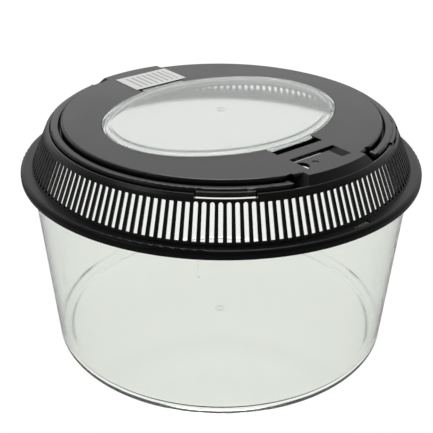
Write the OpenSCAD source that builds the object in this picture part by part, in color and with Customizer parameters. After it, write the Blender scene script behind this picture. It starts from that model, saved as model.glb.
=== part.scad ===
// Round cricket keeper: a clear tapered tub, a black lid with a slotted conical
// vent all round, two half-ring carry handles that fold down round the top
// plate, and a clear oval window that lifts out of the plate.
// The tub stands on z = 0. The two hinge blocks lie on the Y axis, front at -Y.

/* [Tub] */
// Outer diameter of the tub at the table
tub_base_d = 209.6; // [196:0.4:216]
// Outer diameter of the tub at its rim
tub_top_d = 228; // [222:0.5:250]
// Height of the tub up to the top of its rim
tub_h = 113.5; // [80:0.5:180]
// Wall of the tub
tub_wall = 1.6; // [1.2:0.1:2.4]
// Thickness of the tub floor
tub_floor = 1.8; // [1.4:0.1:3]
// How far the rim lip stands out from the wall
rim_w = 1.9; // [1.4:0.1:3]
// Thickness of the rim lip
rim_t = 1.6; // [1.2:0.1:2.4]
// Rounding at the bottom corner of the tub
base_round = 3; // [2:0.5:6]
// How far the floor is raised inside the foot ring
foot_rise = 1.2; // [0.6:0.1:3]
// Width of the foot ring that the tub stands on
foot_w = 5; // [4:0.5:10]
// Number of stacking ribs inside the rim
rib_count = 4; // [2:1:8]
// Height of a stacking rib
rib_h = 14; // [8:1:30]
// Width and depth of a stacking rib
rib_w = 1.2; // [0.8:0.1:2]

/* [Lid rim] */
// Clearance between the snap hooks and the tub rim
snap_gap = 0.3; // [0.2:0.1:0.6]
// Reach of a snap hook from the band
hook_reach = 2; // [1.2:0.1:3]
// Width of a snap hook and of the slot above it
hook_w = 11.4; // [8:0.2:20]
// Width of the slot over a snap hook, across the flange
hook_slot_w = 3.1; // [2:0.1:3.4]
// Distance of that slot from the outer band
hook_slot_in = 1.2; // [0.6:0.1:1.4]
// Height of a snap hook
hook_h = 1.2; // [0.8:0.1:1.8]
// Thickness of the outer band
band_t = 1.8; // [1.4:0.1:3]
// Height of the outer band
band_h = 4.5; // [4.2:0.1:8]
// Thickness of the flange on top of the rim
flange_t = 1.2; // [1:0.1:2.4]
// Rounding along the outer top edge
band_round = 2.4; // [1:0.1:2.8]
// Width of the flange outside the vent
flange_w = 6.6; // [6.5:0.1:9]
// Thickness of the ring that centres the lid in the tub
plug_t = 1.6; // [1.2:0.1:2.4]
// Depth of the centring ring in the tub
plug_h = 4.5; // [2:0.5:8]

/* [Vent] */
// Height of the slotted cone
vent_h = 20.6; // [16:0.1:40]
// How far the cone leans in over its height
vent_lean = 9.2; // [6:0.1:12]
// Thickness of the cone, measured flat
vent_t = 1.2; // [1:0.1:2.8]
// Number of vent slots
slot_count = 160; // [80:2:176]
// Width of a vent slot
slot_w = 2.3; // [1.2:0.1:2.6]
// Solid strip under the slots
slot_foot = 1; // [0.8:0.1:4]
// Solid strip over the slots
slot_head = 1; // [0.8:0.1:4]

/* [Top plate] */
// Height of the plate over the floor of the handle channel
plate_rise = 7.1; // [5.5:0.1:9]
// Thickness of the plate
plate_t = 2; // [1.6:0.1:2.6]
// Rounding along the edge of the plate
plate_round = 1.4; // [0.6:0.1:1.5]
// Wall round the plate, down to the channel floor
plate_wall = 1.8; // [1.4:0.1:2.4]
// Thickness of the channel floor
floor_t = 1.2; // [1:0.1:1.6]
// Depth of the channel floor's underside below the top of the vent
floor_drop = 2; // [1.6:0.1:3]
// Width of the shoulder's top edge at the channel
shoulder_wall = 1.8; // [1:0.1:2.4]
// Height of the shoulder over the top of the vent
shoulder_h = 2.1; // [1:0.1:3]
// Half angle of a finger opening in the shoulder
finger_half = 8.8; // [5:0.1:12]
// Angle of a finger opening from the front block
finger_at = 38; // [28:1:70]

/* [Hinge blocks] */
// Half width of a block at the plate
block_half = 21; // [18:0.5:24]
// How much wider each side of a block is at the channel floor
block_flare = 5.2; // [1:0.1:5.4]
// How far a block's flat top reaches past the plate edge
block_reach = 3.4; // [0.8:0.1:4]
// Wall of a block
block_wall = 1.8; // [1.4:0.1:2.4]
// Depth of the pocket in the plate edge beside a block
pocket_depth = 5.7; // [4.5:0.1:6]

/* [Handles] */
// Width of a handle, across its ring
handle_w = 4.9; // [4:0.1:6]
// Height of a handle
handle_h = 4.4; // [3.6:0.1:5]
// Rounding of a handle's top edges
handle_round = 1.4; // [0.6:0.1:1.7]
// Gap between a handle and the plate
handle_gap_in = 1.1; // [0.8:0.1:1.6]
// Gap between a handle and the shoulder
handle_gap_out = 0.5; // [0.4:0.1:0.9]
// Gap under a handle
handle_gap_under = 0.5; // [0.3:0.1:0.8]
// Distance of each hinge axis from the middle of the lid
hinge_x = 31; // [30:0.5:33]
// Diameter of a hinge pin
pin_d = 2.6; // [2:0.1:3]
// Running clearance of a hinge pin, on the radius
pin_gap = 0.05; // [0.03:0.01:0.1]
// Wall left on the inner side of the scoop under a grip
grip_wall = 1.6; // [1.2:0.1:2]
// Side clearance of a grip in its finger opening, as an angle
grip_slack = 0.4; // [0.3:0.1:1]
// How far the finger grip stands out from the handle
grip_reach = 1.7; // [1:0.1:2]
// Thickness of the finger grip
grip_t = 1.6; // [1:0.1:2]

/* [Window] */
// Length of the window, across the lid
window_l = 148.8; // [130:0.4:156]
// Width of the window, from block to block
window_w = 118.4; // [104:0.4:121]
// Radius of the two ends of the window
window_end_r = 50; // [45:0.5:51]
// Height of the window's raised panel over the plate
window_rise = 1.8; // [1.5:0.1:3.6]
// Height of the window's flat rim over the plate
window_rim_rise = 0.3; // [0:0.1:0.4]
// Width of that flat rim
window_rim_w = 3.4; // [2:0.1:6]
// Thickness of the window
window_t = 1.5; // [1.2:0.1:2]
// Depth of the window's side wall
window_skirt = 6.7; // [6:0.1:8]
// Rounding along the panel's top edge
window_round = 1.3; // [0.6:0.1:1.4]
// Gap between the window and the plate
window_gap = 0.4; // [0.3:0.1:0.8]
// Gap between the window and the ledge that it rests on
seat_gap = 0.3; // [0.2:0.1:0.5]
// Width of that ledge
ledge_w = 1; // [0.8:0.1:2]
// Thickness of that ledge
ledge_t = 1.4; // [1:0.1:2]
// Wall round the window hole
hole_wall = 1.6; // [1.2:0.1:2.4]
// Width of the window's two finger tabs
tab_w = 31; // [20:0.5:36]
// Reach of a finger tab
tab_reach = 3.1; // [1.5:0.1:4]
// Thickness of a finger tab
tab_t = 3.2; // [2:0.1:3.6]
// Finger room round a tab
nail_gap = 5.2; // [3:0.1:6]
// Side gap of a tab in its notch
tab_gap = 1.2; // [0.5:0.1:2]

/* [Front tongue] */
// Half width of the cut round the tongue
tongue_half = 16.2; // [12:0.5:18]
// Distance of the cut from the middle of the lid
tongue_y = 75.9; // [75:0.1:77]
// Width of the cut across the tongue's tip
tip_cut = 4; // [2:0.1:5]
// Width of the cut along the tongue's side
side_cut = 7.2; // [4:0.1:8]
// Length of the cut along the tongue's side
side_len = 13.9; // [10:0.1:14.5]
// Radius of the half-round hole on the other side
half_hole_r = 4.2; // [3:0.1:5]
// Strip left between that hole and the cut across the tip
bridge_w = 1.5; // [1:0.1:2]
// Depth of the two ribs beside the tongue
tongue_rib_h = 8; // [3:0.5:10]

/* [Label] */
// Length of the blank label
label_l = 39; // [20:1:40]
// Width of the blank label
label_w = 24.4; // [15:0.2:24.6]
// Thickness of the label
label_t = 0.2; // [0.1:0.05:0.3]
// How far the label hangs over the rear finger notch
label_over = 4.3; // [0:0.1:4.6]
// How far the label sits to the right of the middle
label_shift = 1.9; // [-2:0.1:2.6]

/* [Hidden] */
$fn = 96;
clear_c = [0.86, 0.90, 0.88, 0.35];
black_c = [0.13, 0.13, 0.14];
cut_over = 1;              // how far a cutter runs past a face
seat = 0.3;                // gap between the lid and the tub rim
join = 0.2;                // how far a small form reaches into what carries it
plug_gap = 0.4;            // gap between the centring ring and the tub

// Tub
base_r = tub_base_d / 2;
top_r = tub_top_d / 2;
function tub_r(z) = base_r + (top_r - base_r) * z / tub_h;
rim_r = top_r + rim_w;

// Lid rim, worked outwards from the tub rim
lid_under = tub_h + seat;
flange_top = lid_under + flange_t;
hook_r = rim_r + snap_gap;
band_in = hook_r + hook_reach;
hook_slot_r = band_in - hook_slot_in - hook_slot_w;
lid_r = band_in + band_t;
band_foot = flange_top - band_h;
plug_foot = lid_under - plug_h;
plug_r = tub_r(plug_foot) - tub_wall - plug_gap;

// Vent cone
vent_r0 = lid_r - flange_w;
vent_r1 = vent_r0 - vent_lean;
vent_top = flange_top + vent_h;
function vent_r(z) = vent_r0 - vent_lean * (z - flange_top) / vent_h;
slot_z0 = flange_top + slot_foot;
slot_z1 = vent_top - slot_head;
slot_step = 360 / slot_count;

// Channel, handles and plate, worked inwards from the vent
channel_r = vent_r1 - vent_t - shoulder_wall;
handle_r1 = channel_r - handle_gap_out;
handle_r0 = handle_r1 - handle_w;
plate_r = handle_r0 - handle_gap_in;
floor_z0 = vent_top - floor_drop;
floor_z1 = floor_z0 + floor_t;
plate_z1 = floor_z1 + plate_rise;
plate_z0 = plate_z1 - plate_t;
shoulder_z = vent_top + shoulder_h;
shoulder_top_w = 1.4;      // width of the shoulder's flat top
shoulder_lip = [0.3, 0.6]; // small step where the shoulder starts
edge_cut = 0.3;            // bevel on the shoulder's inner edge
block_r = plate_r + block_reach;
pocket_y = plate_r - pocket_depth;
pocket_x0 = hinge_x - handle_h / 2 - 2;
pocket_x1 = hinge_x + handle_h / 2 + 1;
handle_z0 = floor_z1 + handle_gap_under;
hinge_z = handle_z0 + handle_h / 2;
pin_r = pin_d / 2;
pin_over = 0.4;            // how far a pin passes through its wall
end_gap = 0.6;             // gap between a handle's end and the pocket wall
end_flat = 6.5;            // length of the flat on a handle's inner side at its end
grip_drop = 1;             // depth of the grip's top below the handle's top
grip_z1 = handle_z0 + handle_h - grip_drop;
grip_half = finger_half - grip_slack;

// Window
win_a = window_l / 2;
win_b = window_w / 2;
window_z1 = plate_z1 + window_rise;
window_z0 = window_z1 - window_skirt;
ledge_z1 = window_z0 - seat_gap;
ledge_z0 = ledge_z1 - ledge_t;
rim_z = plate_z1 + window_rim_rise;
tab_y = win_b + tab_reach;
notch_half = tab_w / 2 + tab_gap;
notch_y = tab_y + nail_gap;
mark_r = 3;
mark_t = 0.3;
mark_w = 0.8;
dimple_r = 2;              // dimple on the tongue
dimple_at = [7.2, 10.5];
rib_t = 1.6;               // thickness of the ribs beside the tongue

// An oval of four arcs with half length a, half width b and end radius r
module oval(a, b, r) {
    ex = a - r;
    k = (ex * ex - (b - r) * (b - r)) / (2 * (b - r));
    big = b + k;
    tangent_x = ex * (1 + r / norm([ex, k]));
    for (s = [-1, 1]) translate([s * ex, 0]) circle(r);
    intersection() {
        translate([0, -k]) circle(big);
        translate([0, k]) circle(big);
        square([2 * tangent_x, 4 * b], center = true);
    }
}

// The window's outline, grown by g
module window_outline(g) {
    oval(win_a + g, win_b + g, window_end_r + g);
}

// A box from one corner to the opposite corner
module box(lo, hi) {
    translate(lo) cube(hi - lo);
}

// Half of a section with a rounded top outer corner, from r0 to r1
module round_corner(r0, r1, z0, z1, rad) {
    translate([r0, z0]) square([r1 - r0 - rad, z1 - z0]);
    translate([r0, z0]) square([r1 - r0, z1 - z0 - rad]);
    translate([r1 - rad, z1 - rad]) circle(rad);
}

module tub() {
    wall_z = tub_h - rim_t;
    foot_r = base_r - base_round;
    color(clear_c) difference() {
        union() {
            rotate_extrude() difference() {
                union() {
                    polygon([[0, foot_rise], [foot_r - foot_w, foot_rise],
                             [foot_r - foot_w + foot_rise, 0], [foot_r, 0],
                             [tub_r(base_round), base_round], [top_r, tub_h], [0, tub_h]]);
                    translate([tub_r(wall_z) - tub_wall / 2, wall_z])
                        square([rim_r - tub_r(wall_z) + tub_wall / 2, rim_t]);
                    translate([tub_r(base_round) - base_round, base_round]) circle(base_round);
                }
                polygon([[0, foot_rise + tub_floor],
                         [foot_r - base_round, foot_rise + tub_floor],
                         [tub_r(foot_rise + tub_floor + base_round) - tub_wall,
                          foot_rise + tub_floor + base_round],
                         [tub_r(tub_h + cut_over) - tub_wall, tub_h + cut_over],
                         [0, tub_h + cut_over]]);
            }
            // stacking ribs, from under the centring ring downwards
            intersection() {
                rib_z1 = plug_foot - seat;
                for (i = [0 : rib_count - 1]) rotate(45 + i * 360 / rib_count)
                    box([tub_r(rib_z1 - rib_h) - tub_wall - rib_w, -rib_w / 2, rib_z1 - rib_h],
                        [top_r, rib_w / 2, rib_z1]);
                cylinder(h = tub_h, r1 = base_r - tub_wall / 2, r2 = top_r - tub_wall / 2);
            }
            // ring mark in the middle of the floor
            translate([0, 0, foot_rise + tub_floor]) difference() {
                cylinder(h = mark_t, r = mark_r);
                cylinder(h = mark_t + cut_over, r = mark_r - mark_w);
            }
        }
    }
}

module lid_rim() {
    color(black_c) difference() {
        union() {
            rotate_extrude() difference() {
                union() {
                    translate([plug_r - plug_t, 0])
                        round_corner(0, lid_r - plug_r + plug_t, band_foot, flange_top, band_round);
                    translate([plug_r - plug_t, plug_foot]) square([plug_t, plug_h + join]);
                }
                translate([plug_r, band_foot - cut_over])
                    square([band_in - plug_r, lid_under - band_foot + cut_over]);
                translate([plug_r - plug_t - cut_over, band_foot - cut_over])
                    square([cut_over, flange_top - band_foot + 2 * cut_over]);
            }
            // snap hooks inside the band, on the block line
            for (a = [0, 180]) rotate(a) intersection() {
                rotate_extrude() translate([hook_r, band_foot]) square([hook_reach + join, hook_h]);
                box([-hook_w / 2, 0, 0], [hook_w / 2, lid_r, tub_h]);
            }
        }
        // slots above the hooks
        for (a = [0, 180]) rotate(a) intersection() {
            rotate_extrude() translate([hook_slot_r, lid_under - cut_over])
                square([hook_slot_w, flange_t + 2 * cut_over]);
            box([-hook_w / 2, 0, 0], [hook_w / 2, lid_r, flange_top + cut_over]);
        }
    }
}

// One slot cutter, with a round top, pointing along +X
module slot_cutter() {
    reach = vent_t + vent_lean + 4;
    rad = slot_w / 2;
    translate([vent_r1 - vent_t - 2, 0, 0]) {
        box([0, -rad, slot_z0], [reach, rad, slot_z1 - rad]);
        translate([0, 0, slot_z1 - rad]) rotate([0, 90, 0]) cylinder(h = reach, r = rad, $fn = 24);
    }
}

module vent_grille() {
    color(black_c) difference() {
        rotate_extrude() polygon([[vent_r0 - vent_t, flange_top], [vent_r0, flange_top],
                                  [vent_r1, vent_top], [vent_r1 - vent_t, vent_top]]);
        for (i = [0 : slot_count - 1]) rotate(90 + (i + 0.5) * slot_step) slot_cutter();
    }
}

// Section of the plate, its wall, the channel floor and the shoulder
module top_section() {
    round_corner(0, plate_r, plate_z0, plate_z1, plate_round);
    translate([plate_r - plate_wall, floor_z0])
        square([plate_wall, plate_z1 - plate_round - floor_z0]);
    polygon([[plate_r - plate_wall, floor_z0], [vent_r(floor_z0) - vent_t, floor_z0],
             [vent_r1 - vent_t, vent_top], [vent_r1, vent_top],
             [vent_r1 - shoulder_lip[0], vent_top + shoulder_lip[1]],
             [channel_r + shoulder_top_w, shoulder_z],
             [channel_r + edge_cut, shoulder_z], [channel_r, shoulder_z - edge_cut],
             [channel_r, floor_z1], [plate_r - plate_wall, floor_z1]]);
}

// Outline of a block over the channel, solid, grown inwards by wall t
module block_solid(t, over) {
    slope = (vent_r1 - block_r) / (plate_z1 - vent_top);
    slant = norm([1, slope]);
    intersection() {
        rotate_extrude() polygon([[plate_r - plate_wall - over, floor_z0 - over],
                                  [vent_r(floor_z0) - vent_t - t, floor_z0 - over],
                                  [vent_r1 - vent_t - t, vent_top - t * slant / slope],
                                  [vent_r1 - t * slant, vent_top - t * slant / slope],
                                  [vent_r1 - t * slant, vent_top],
                                  [block_r - t * slant + t * slope, plate_z1 - t],
                                  [plate_r - plate_wall - over, plate_z1 - t]]);
        rotate([90, 0, 0]) linear_extrude(lid_r)
            polygon([[-block_half - block_flare + t, floor_z1], [-block_half + t, plate_z1],
                     [block_half - t, plate_z1], [block_half + block_flare - t, floor_z1],
                     [block_half + block_flare - t, floor_z0 - over],
                     [-block_half - block_flare + t, floor_z0 - over]]);
    }
}

// The cut-back beside a block, where a handle's end turns
module pocket_cut() {
    for (s = [0, 1]) mirror([s, 0, 0])
        box([pocket_x0, -plate_r, floor_z1], [pocket_x1, -pocket_y, plate_z1 + cut_over]);
}

// The walls of that cut-back; the handle's pins turn in the long one
module pocket_wall() {
    intersection() {
        for (s = [0, 1]) mirror([s, 0, 0]) {
            box([pocket_x0 - plate_wall, -pocket_y, floor_z0],
                [pocket_x1, -pocket_y + plate_wall, plate_z0 + join]);
            box([pocket_x0 - plate_wall, -plate_r, floor_z0],
                [pocket_x0, -pocket_y + join, plate_z0 + join]);
        }
        cylinder(h = plate_z1, r = plate_r - join);
    }
}

module pin_bores() {
    for (s = [-1, 1]) translate([s * hinge_x, -pocket_y - cut_over, hinge_z])
        rotate([-90, 0, 0]) cylinder(h = plate_wall + 2 * cut_over, r = pin_r + pin_gap, $fn = 48);
}

// Pocket round one finger tab of the window
module tab_pocket(grow, z0, z1) {
    box([-notch_half - grow, -notch_y - grow, z0], [notch_half + grow, 0, z1]);
}

module tongue_cuts() {
    mirror([0, 1, 0]) {
        box([-tongue_half, tongue_y, floor_z0], [tongue_half, tongue_y + tip_cut, plate_z1 + cut_over]);
        box([tongue_half - side_cut, tongue_y, floor_z0],
            [tongue_half, tongue_y + side_len, plate_z1 + cut_over]);
        intersection() {
            translate([-tongue_half, tongue_y + tip_cut + bridge_w + half_hole_r, floor_z0])
                cylinder(h = plate_z1, r = half_hole_r, $fn = 48);
            box([-tongue_half, 0, 0], [0, plate_r, plate_z1 + cut_over]);
        }
        translate([-dimple_at[0], tongue_y + dimple_at[1], plate_z1 - mark_t])
            cylinder(h = cut_over, r = dimple_r, $fn = 32);
    }
}

module lid_top() {
    color(black_c) difference() {
        union() {
            difference() {
                rotate_extrude() top_section();
                for (a = [0, 180]) rotate(a) pocket_cut();
            }
            for (a = [0, 180]) rotate(a) {
                block_solid(0, 0);
                pocket_wall();
                tab_pocket(hole_wall, ledge_z0, plate_z0 + join);
            }
            translate([0, 0, ledge_z0]) linear_extrude(plate_z0 + join - ledge_z0)
                window_outline(window_gap + hole_wall);
            // ribs beside the tongue
            for (s = [0, 1]) mirror([s, 0, 0])
                box([tongue_half, -tongue_y - side_len, plate_z0 - tongue_rib_h],
                    [tongue_half + rib_t, -notch_y, plate_z0 + join]);
        }
        // window hole, over its ledge
        translate([0, 0, ledge_z1]) linear_extrude(plate_z1) window_outline(window_gap);
        translate([0, 0, ledge_z0 - cut_over]) linear_extrude(plate_z1)
            window_outline(window_gap - ledge_w);
        for (a = [0, 180]) rotate(a) {
            block_solid(block_wall, cut_over);
            tab_pocket(0, ledge_z1, plate_z1 + cut_over);
            pin_bores();
        }
        tongue_cuts();
        // finger openings under the handles' grips
        for (s = [-1, 1]) rotate(-90 + s * finger_at - finger_half)
            rotate_extrude(angle = 2 * finger_half)
                translate([handle_r0 + grip_wall, floor_z0 - cut_over])
                    square([vent_r1 - handle_r0, shoulder_z - floor_z0 + 2 * cut_over]);
    }
}

// Section of a handle with rounded top edges
module handle_section() {
    w = handle_w / 2;
    translate([handle_r0 + w, 0]) for (s = [0, 1]) mirror([s, 0])
        round_corner(-join, w, handle_z0, handle_z0 + handle_h, handle_round);
}

// The left handle: a ring arc on the -X side, with a round end and a pin at
// each end and a finger grip near the front block
module handle() {
    pin_y = sqrt(pow(handle_r0, 2) - pow(hinge_x, 2));
    end_y = sqrt(pow(handle_r1, 2) - pow(hinge_x + handle_h / 2, 2));
    union() {
        difference() {
            union() {
                intersection() {
                    rotate_extrude() handle_section();
                    box([-lid_r, -end_y, 0], [-hinge_x, end_y, 2 * plate_z1]);
                }
                rotate(-90 - finger_at - grip_half) rotate_extrude(angle = 2 * grip_half)
                    translate([handle_r1 - 1, grip_z1 - grip_t]) square([1 + grip_reach, grip_t]);
                for (s = [0, 1]) mirror([0, s, 0])
                    translate([-hinge_x, -end_y, hinge_z]) rotate([-90, 0, 0])
                        cylinder(h = end_y - pin_y, r = handle_h / 2, $fn = 48);
            }
            // finger scoop under the grip
            rotate(-90 - finger_at - grip_half) rotate_extrude(angle = 2 * grip_half)
                translate([handle_r0 + grip_wall, handle_z0 - cut_over])
                    square([handle_w + grip_reach, grip_z1 - grip_t - handle_z0 + cut_over]);
            // flat inner side at each end, so that it turns clear of the plate
            for (s = [0, 1]) mirror([0, s, 0])
                box([-hinge_x - end_flat, -pocket_y - end_gap, handle_z0 - cut_over],
                    [-hinge_x + handle_h, -pocket_y + end_flat, handle_z0 + handle_h + cut_over]);
        }
        for (s = [0, 1]) mirror([0, s, 0])
            translate([-hinge_x, -pin_y - end_gap, hinge_z]) rotate([-90, 0, 0])
                cylinder(h = pin_y + end_gap - pocket_y + plate_wall + pin_over, r = pin_r, $fn = 48);
    }
}

module handle_left() {
    color(black_c) handle();
}

module handle_right() {
    color(black_c) mirror([1, 0, 0]) handle();
}

module window() {
    color(clear_c) difference() {
        union() {
            translate([0, 0, window_z0]) linear_extrude(rim_z - window_z0) window_outline(0);
            // raised panel, its rounded top edge as three steps of the arc
            for (i = [0 : 2])
                translate([0, 0, window_z0])
                    linear_extrude(window_skirt - window_round * (1 - sin(30 * (i + 1))))
                        window_outline(-window_rim_w - window_round * (1 - cos(30 * i + 15)));
            for (a = [0, 180]) rotate(a)
                box([-tab_w / 2, -tab_y, rim_z - tab_t],
                    [tab_w / 2, -win_b + 2 * window_t, rim_z]);
        }
        // hollow under the rim, and deeper under the panel
        translate([0, 0, window_z0 - cut_over])
            linear_extrude(rim_z - window_z0 - window_t + cut_over) window_outline(-window_t);
        translate([0, 0, window_z0 - cut_over])
            linear_extrude(window_skirt - window_t + cut_over)
                window_outline(-window_rim_w - window_t);
        // ring mark in the middle of the panel
        translate([0, 0, window_z1 - mark_t]) difference() {
            cylinder(h = cut_over, r = mark_r);
            cylinder(h = cut_over, r = mark_r - mark_w);
        }
    }
}

module label() {
    y0 = notch_y - label_over;
    color("white") box([label_shift - label_l / 2, y0, plate_z1],
                       [label_shift + label_l / 2, y0 + label_w, plate_z1 + label_t]);
}

tub();
lid_rim();
vent_grille();
lid_top();
handle_left();
handle_right();
window();
label();
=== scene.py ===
import math

import bpy
from mathutils import Matrix, Vector


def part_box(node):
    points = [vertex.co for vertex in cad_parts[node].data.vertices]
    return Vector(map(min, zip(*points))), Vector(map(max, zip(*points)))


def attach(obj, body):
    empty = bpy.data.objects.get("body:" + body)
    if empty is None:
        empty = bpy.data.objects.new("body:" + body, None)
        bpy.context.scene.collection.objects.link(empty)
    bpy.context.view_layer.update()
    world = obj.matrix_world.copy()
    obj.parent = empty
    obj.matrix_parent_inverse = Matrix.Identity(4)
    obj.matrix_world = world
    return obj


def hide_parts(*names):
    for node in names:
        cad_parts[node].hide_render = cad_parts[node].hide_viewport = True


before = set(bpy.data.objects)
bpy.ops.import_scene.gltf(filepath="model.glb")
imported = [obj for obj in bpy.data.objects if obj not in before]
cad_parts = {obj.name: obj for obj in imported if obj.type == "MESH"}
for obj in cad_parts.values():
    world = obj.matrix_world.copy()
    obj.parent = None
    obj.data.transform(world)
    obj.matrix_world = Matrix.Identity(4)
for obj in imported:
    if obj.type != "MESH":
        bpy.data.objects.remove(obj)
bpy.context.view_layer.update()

# Lengths are in metres and angles in degrees.

# The photo's camera, fitted to the circles of the lid
PHOTO_SIDE = 433          # pixels
FOCAL_PX = 871.0          # focal length in those pixels
CAMERA_AT = (-0.3094, -0.3766, 0.3278)
HEADING = 39.1            # from +Y towards +X
PITCH = -27.71
ROLL = 0.375
SENSOR_MM = 36.0
CLIP_START = 0.01

WHITE = (1, 1, 1, 1)

# Black plastic. The rim reflects less than the rest of the lid, as in the photo.
BLACK = (0.006, 0.006, 0.0063, 1)
BLACK_IOR = 1.5
LID_GLOSS = 0.48
RIM_GLOSS = 0.24
BLACK_ROUGH = (0.29, 0.35)
FLOW_SCALE = 34.0         # flow marks of the moulding
FLOW_RANGE = (0.3, 0.7)
GRAIN_SCALE = 2600.0      # satin grain of the mould
GRAIN_BUMP = 0.12
GRAIN_DEPTH = 0.0001
EDGE_ROUND = 0.0004       # the small rounding that catches the light along each edge
EDGE_SAMPLES = 4

# Clear plastic. Its IOR is kept below a real plastic's 1.5, so that the thin edges
# stay as pale as in the photo.
TUB_CLEAR = (0.885, 0.903, 0.873, 1)
TUB_ROUGH = (0.05, 0.09)
TUB_MILKY = 0.03
WINDOW_CLEAR = (0.84, 0.85, 0.845, 1)
WINDOW_ROUGH = (0.04, 0.1)
WINDOW_MILKY = 0.16
CLEAR_IOR = 1.25
HAZE = (0.85, 0.87, 0.85, 1)
WAVE_SCALE = 22.0
WAVE_BUMP = 0.05
WAVE_DEPTH = 0.0004

# The label: coated paper with a plain, even row of lines
LABEL_WHITE = (0.93, 0.94, 0.92, 1)
LABEL_GREY = (0.55, 0.55, 0.54, 1)
LABEL_ROUGH = 0.45
LINE_PITCH = 0.0041
LINE_SHARE = 0.42         # the part of the pitch that is grey
MARGIN_X = 0.004
MARGIN_Y = 0.003
FIBRE_SCALE = 900.0
FIBRE_BUMP = 0.05
FIBRE_DEPTH = 0.0001

# The window's finger tabs in the photo, which are shorter and thinner than the solid's
TAB_TIP = 0.0606
TAB_THICK = 0.0015
TAB_HALF = 0.0156
NEAR = 0.0001             # two places closer than this are the same

# The wall of the window hole under each tab
WALL_HALF = 0.0167
WALL_IN = 0.0596
WALL_OUT = 0.0606
WALL_TOP = 0.1404
WALL_BELOW = 0.0003       # how far it goes on below the window
BOX_FACES = ((0, 2, 3, 1), (4, 5, 7, 6), (0, 1, 5, 4),
             (1, 3, 7, 5), (3, 2, 6, 7), (2, 0, 4, 6))

# The floor. Where it is seen it glows white, and a small plain share keeps the
# object's shadow. Where it lights the object it is a plain grey.
FLOOR_HALF = 6.0
FLOOR_Z = -0.0003         # just under the tub's foot, so that the two faces don't meet
FLOOR_SEEN = (0.92, 0.92, 0.92, 1)
FLOOR_GLOW = 1.06
GLOW_SHARE = 0.92
FLOOR_PLAIN = (0.45, 0.45, 0.45, 1)

# The room: brightest behind the object, dim behind the camera
ROOM_BACK = 1.0
ROOM_FRONT = 0.12
ROOM_RANGE = (-0.05, 0.9)     # cosine of the angle to the camera's heading
LAMP_AIM = (0, 0, 0.1)
LAMPS = {                     # place, width, watts
    "key": ((0.5, 0.62, 1.5), 0.7, 9.0),
    "fill": ((-1.0, 0.1, 0.9), 0.4, 0.8),
}


class Nodes:
    """Short calls for building the node tree of a material or a world."""

    # Sockets of the colour mix node, which shares their names with other sockets
    COLOUR_A, COLOUR_B, COLOUR_OUT = 6, 7, 2

    def __init__(self, owner, output):
        owner.use_nodes = True
        self.tree = owner.node_tree
        self.tree.nodes.clear()
        self.output = self.add(output)

    def add(self, kind, **values):
        """Adds a node. Each value goes to the input of that name, or to a setting."""
        node = self.tree.nodes.new("ShaderNode" + kind)
        for key, value in values.items():
            name = key.replace("_", " ")
            if name in node.inputs:
                self.feed(node.inputs[name], value)
            else:
                setattr(node, key, value)
        return node

    def feed(self, socket, value):
        """Links an output to the socket, or sets a plain value on it."""
        if isinstance(value, bpy.types.NodeSocket):
            self.tree.links.new(value, socket)
        else:
            socket.default_value = value

    def finish(self, shader):
        self.feed(self.output.inputs["Surface"], shader)

    def object_place(self):
        return self.add("TexCoord").outputs["Object"]

    def noise(self, scale, detail, roughness=0.5):
        node = self.add("TexNoise", Vector=self.object_place(), Scale=scale,
                        Detail=detail, Roughness=roughness)
        return node.outputs["Fac"]

    def spread(self, value, onto, span=(0.0, 1.0)):
        """Maps the value from one range onto another."""
        node = self.add("MapRange", Value=value, From_Min=span[0], From_Max=span[1],
                        To_Min=onto[0], To_Max=onto[1])
        return node.outputs["Result"]

    def bump(self, height, strength, depth, normal=None):
        node = self.add("Bump", Height=height, Strength=strength, Distance=depth)
        if normal:
            self.feed(node.inputs["Normal"], normal)
        return node.outputs["Normal"]

    def math(self, operation, a, b=0.0):
        node = self.add("Math", operation=operation)
        for socket, value in zip(node.inputs, (a, b)):
            self.feed(socket, value)
        return node.outputs[0]

    def mix(self, share, first, second):
        """A mix of two shaders, which is the second where share is 1."""
        node = self.add("MixShader")
        for socket, value in zip(node.inputs, (share, first, second)):
            self.feed(socket, value)
        return node.outputs["Shader"]

    def seen(self):
        """1 for what the camera sees, straight or through clear plastic."""
        path = self.add("LightPath").outputs
        return self.math("MAXIMUM", path["Is Camera Ray"], path["Is Transmission Ray"])


def black_plastic(name, gloss):
    """Moulded black plastic: soft edges, a fine satin grain and faint flow marks."""
    material = bpy.data.materials.new(name)
    m = Nodes(material, "OutputMaterial")
    flow = m.noise(FLOW_SCALE, detail=3.0)
    grain = m.noise(GRAIN_SCALE, detail=3.0, roughness=0.6)
    edge = m.add("Bevel", samples=EDGE_SAMPLES, Radius=EDGE_ROUND)
    shader = m.add(
        "BsdfPrincipled", Base_Color=BLACK, IOR=BLACK_IOR, Specular_IOR_Level=gloss,
        Roughness=m.spread(flow, BLACK_ROUGH, FLOW_RANGE),
        Normal=m.bump(grain, GRAIN_BUMP, GRAIN_DEPTH, edge.outputs["Normal"]))
    m.finish(shader.outputs["BSDF"])
    return material


def clear_plastic(name, colour, rough, milky):
    """Clear moulded plastic, faintly wavy and milky; lamps shine through it."""
    material = bpy.data.materials.new(name)
    m = Nodes(material, "OutputMaterial")
    wave = m.noise(WAVE_SCALE, detail=2.0)
    glass = m.add(
        "BsdfPrincipled", Base_Color=colour, IOR=CLEAR_IOR, Transmission_Weight=1.0,
        Roughness=m.spread(wave, rough), Normal=m.bump(wave, WAVE_BUMP, WAVE_DEPTH))
    haze = m.add("BsdfDiffuse", Color=HAZE)
    body = m.mix(milky, glass.outputs["BSDF"], haze.outputs["BSDF"])
    through = m.add("BsdfTransparent", Color=colour)
    shadow = m.add("LightPath").outputs["Is Shadow Ray"]
    m.finish(m.mix(shadow, body, through.outputs["BSDF"]))
    return material


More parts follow.
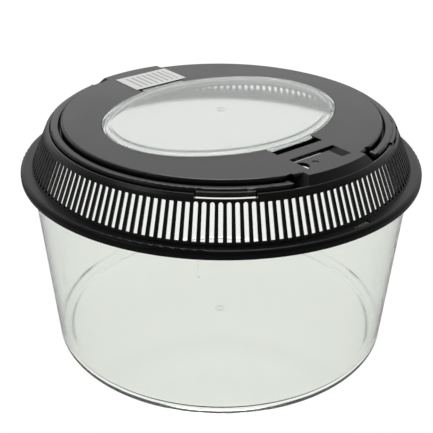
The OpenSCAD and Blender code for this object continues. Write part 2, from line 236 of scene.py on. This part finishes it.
def label_paper():
    """Coated white paper with a plain even row of grey lines."""
    material = bpy.data.materials.new("label_face")
    m = Nodes(material, "OutputMaterial")
    low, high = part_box("label")
    place = m.add("SeparateXYZ", Vector=m.object_place()).outputs
    step = m.math("FRACT", m.math("DIVIDE", place["X"], LINE_PITCH))
    grey = m.math("LESS_THAN", step, LINE_SHARE)
    for axis, start, end in (
            (place["X"], low.x + MARGIN_X, high.x - MARGIN_X),
            (place["Y"], low.y + MARGIN_Y, high.y - MARGIN_Y)):
        grey = m.math("MULTIPLY", m.math("GREATER_THAN", axis, start), grey)
        grey = m.math("MULTIPLY", m.math("LESS_THAN", axis, end), grey)
    colour = m.add("Mix", data_type="RGBA", Factor=grey)
    colour.inputs[m.COLOUR_A].default_value = LABEL_WHITE
    colour.inputs[m.COLOUR_B].default_value = LABEL_GREY
    fibre = m.noise(FIBRE_SCALE, detail=2.0)
    shader = m.add(
        "BsdfPrincipled", Base_Color=colour.outputs[m.COLOUR_OUT],
        Roughness=LABEL_ROUGH, Normal=m.bump(fibre, FIBRE_BUMP, FIBRE_DEPTH))
    m.finish(shader.outputs["BSDF"])
    return material


def floor_material():
    """White where it is seen, with the object's shadow, and grey where it lights it."""
    material = bpy.data.materials.new("floor")
    m = Nodes(material, "OutputMaterial")
    seen = m.add("BsdfDiffuse", Color=FLOOR_SEEN)
    glow = m.add("Emission", Color=WHITE, Strength=FLOOR_GLOW)
    plain = m.add("BsdfDiffuse", Color=FLOOR_PLAIN)
    shown = m.mix(GLOW_SHARE, seen.outputs["BSDF"], glow.outputs["Emission"])
    m.finish(m.mix(m.seen(), plain.outputs["BSDF"], shown))
    return material


def paint(names, material):
    for name in names:
        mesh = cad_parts[name].data
        mesh.materials.clear()
        mesh.materials.append(material)


def place_object(name, data):
    obj = bpy.data.objects.new(name, data)
    bpy.context.scene.collection.objects.link(obj)
    return obj


def slim_window():
    """The window again, with its two finger tabs as short and thin as in the photo."""
    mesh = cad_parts["window"].data.copy()
    solid_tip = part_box("window")[1].y - NEAR
    ends = [v.co.z for v in mesh.vertices if abs(v.co.y) > solid_tip]
    tab_top, tab_foot = max(ends), min(ends)
    for vertex in mesh.vertices:
        place = vertex.co
        if abs(place.x) < TAB_HALF and abs(place.z - tab_foot) < NEAR:
            place.z = tab_top - TAB_THICK
        if abs(place.y) > solid_tip:
            place.y = math.copysign(TAB_TIP, place.y)
    piece = place_object("window_pane", mesh)
    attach(piece, "window")
    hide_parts("window")


def notch_walls(material):
    """The wall of the window hole, which runs on under each finger tab."""
    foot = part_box("window")[0].z - WALL_BELOW
    for name, side in (("notch_wall_front", -1), ("notch_wall_rear", 1)):
        across = sorted((side * WALL_IN, side * WALL_OUT))
        corners = [(x, y, z) for z in (foot, WALL_TOP) for y in across
                   for x in (-WALL_HALF, WALL_HALF)]
        mesh = bpy.data.meshes.new(name)
        mesh.from_pydata(corners, [], BOX_FACES)
        mesh.materials.append(material)
        piece = place_object(name, mesh)
        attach(piece, "lid")


def floor():
    """The plain floor that the tub stands on."""
    corners = [(x * FLOOR_HALF, y * FLOOR_HALF, FLOOR_Z)
               for x, y in ((-1, -1), (1, -1), (1, 1), (-1, 1))]
    mesh = bpy.data.meshes.new("floor")
    mesh.from_pydata(corners, [], [(0, 1, 2, 3)])
    mesh.materials.append(floor_material())
    place_object("floor", mesh)


def room():
    """A world that is white where it is seen, and lights mostly from behind."""
    world = bpy.data.worlds.new("studio")
    bpy.context.scene.world = world
    m = Nodes(world, "OutputWorld")
    yaw = math.radians(HEADING)
    back = m.add("VectorMath", operation="DOT_PRODUCT")
    m.feed(back.inputs[0], m.add("TexCoord").outputs["Generated"])
    m.feed(back.inputs[1], (math.sin(yaw), math.cos(yaw), 0))
    level = m.spread(back.outputs["Value"], (ROOM_FRONT, ROOM_BACK), ROOM_RANGE)
    light = m.add("Background", Color=WHITE, Strength=level)
    white = m.add("Background", Color=WHITE, Strength=1.0)
    m.finish(m.mix(m.seen(), light.outputs[0], white.outputs[0]))


def lamps():
    """Two soft lamps."""
    for name, (place, width, power) in LAMPS.items():
        data = bpy.data.lights.new(name, "AREA")
        data.shape = "DISK"
        data.size = width
        data.energy = power
        lamp = place_object(name, data)
        lamp.location = place
        aim = Vector(LAMP_AIM) - Vector(place)
        lamp.rotation_euler = aim.to_track_quat("-Z", "Y").to_euler()


def camera():
    """The photo's camera, from its measured place, heading, pitch and roll."""
    yaw, pitch, roll = (math.radians(a) for a in (HEADING, PITCH, ROLL))
    ahead = Vector((math.sin(yaw) * math.cos(pitch),
                    math.cos(yaw) * math.cos(pitch), math.sin(pitch)))
    side = ahead.cross(Vector((0, 0, 1))).normalized()
    top = side.cross(ahead)
    right = side * math.cos(roll) + top * math.sin(roll)
    up = top * math.cos(roll) - side * math.sin(roll)
    data = bpy.data.cameras.new("camera")
    data.sensor_width = SENSOR_MM
    data.sensor_height = SENSOR_MM
    data.lens = FOCAL_PX / PHOTO_SIDE * SENSOR_MM
    data.clip_start = CLIP_START
    obj = place_object("camera", data)
    turn = Matrix((right, up, -ahead)).transposed().to_4x4()
    obj.matrix_world = Matrix.Translation(CAMERA_AT) @ turn
    bpy.context.scene.camera = obj


black = black_plastic("black_plastic", LID_GLOSS)
paint(["vent_grille", "lid_top", "handle_left", "handle_right"], black)
paint(["lid_rim"], black_plastic("black_plastic_rim", RIM_GLOSS))
paint(["tub"], clear_plastic("clear_plastic", TUB_CLEAR, TUB_ROUGH, TUB_MILKY))
paint(["window"],
      clear_plastic("window_plastic", WINDOW_CLEAR, WINDOW_ROUGH, WINDOW_MILKY))
paint(["label"], label_paper())

slim_window()
notch_walls(black)
floor()
room()
lamps()
camera()
bpy.context.scene.view_settings.view_transform = "Standard"
